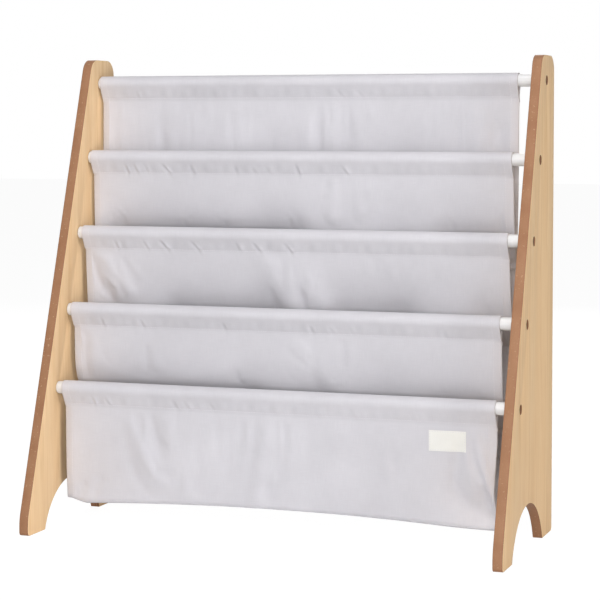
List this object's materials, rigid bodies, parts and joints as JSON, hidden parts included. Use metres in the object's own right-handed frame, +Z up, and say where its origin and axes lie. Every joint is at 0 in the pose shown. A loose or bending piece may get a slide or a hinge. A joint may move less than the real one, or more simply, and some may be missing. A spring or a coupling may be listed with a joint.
{
  "type": "sling bookshelf",
  "caption": "Low front-facing bookshelf for a child's room: a cloth sling of book pockets hung on rods between two tapered side panels.",
  "frame": {"origin": "on the floor, midway between the side panels and midway between the front and the back of the feet", "axes": "+X along the rods to the right as seen from the front, +Y to the back, +Z up"},
  "size_m": [0.62, 0.258, 0.6],
  "materials": {
    "side_panel_board": "light wood grain faces with brown board edges, satin",
    "rod_paint": "white paint, semi-gloss",
    "insert_brass": "turned",
    "bolt_bronze": "bronze plating, satin",
    "sling_cloth": "woven polyester, matt with a faint sheen",
    "label_cloth": "woven label, blank"
  },
  "bodies": {
    "root": {"left_side_panel": "side_panel_board", "right_side_panel": "side_panel_board", "rod_1": "rod_paint", "rod_2": "rod_paint", "rod_3": "rod_paint", "rod_4": "rod_paint", "rod_5": "rod_paint", "rod_insert_left_1": "insert_brass", "rod_insert_left_2": "insert_brass", "rod_insert_left_3": "insert_brass", "rod_insert_left_4": "insert_brass", "rod_insert_left_5": "insert_brass", "rod_insert_right_1": "insert_brass", "rod_insert_right_2": "insert_brass", "rod_insert_right_3": "insert_brass", "rod_insert_right_4": "insert_brass", "rod_insert_right_5": "insert_brass", "panel_bolt_left_1": "bolt_bronze", "panel_bolt_left_2": "bolt_bronze", "panel_bolt_left_3": "bolt_bronze", "panel_bolt_left_4": "bolt_bronze", "panel_bolt_left_5": "bolt_bronze", "panel_bolt_right_1": "bolt_bronze", "panel_bolt_right_2": "bolt_bronze", "panel_bolt_right_3": "bolt_bronze", "panel_bolt_right_4": "bolt_bronze", "panel_bolt_right_5": "bolt_bronze", "back_panel": "sling_cloth", "pocket_front_1": "sling_cloth", "pocket_front_2": "sling_cloth", "pocket_front_3": "sling_cloth", "pocket_front_4": "sling_cloth", "blank_label": "label_cloth"}
  },
  "joints": []
}
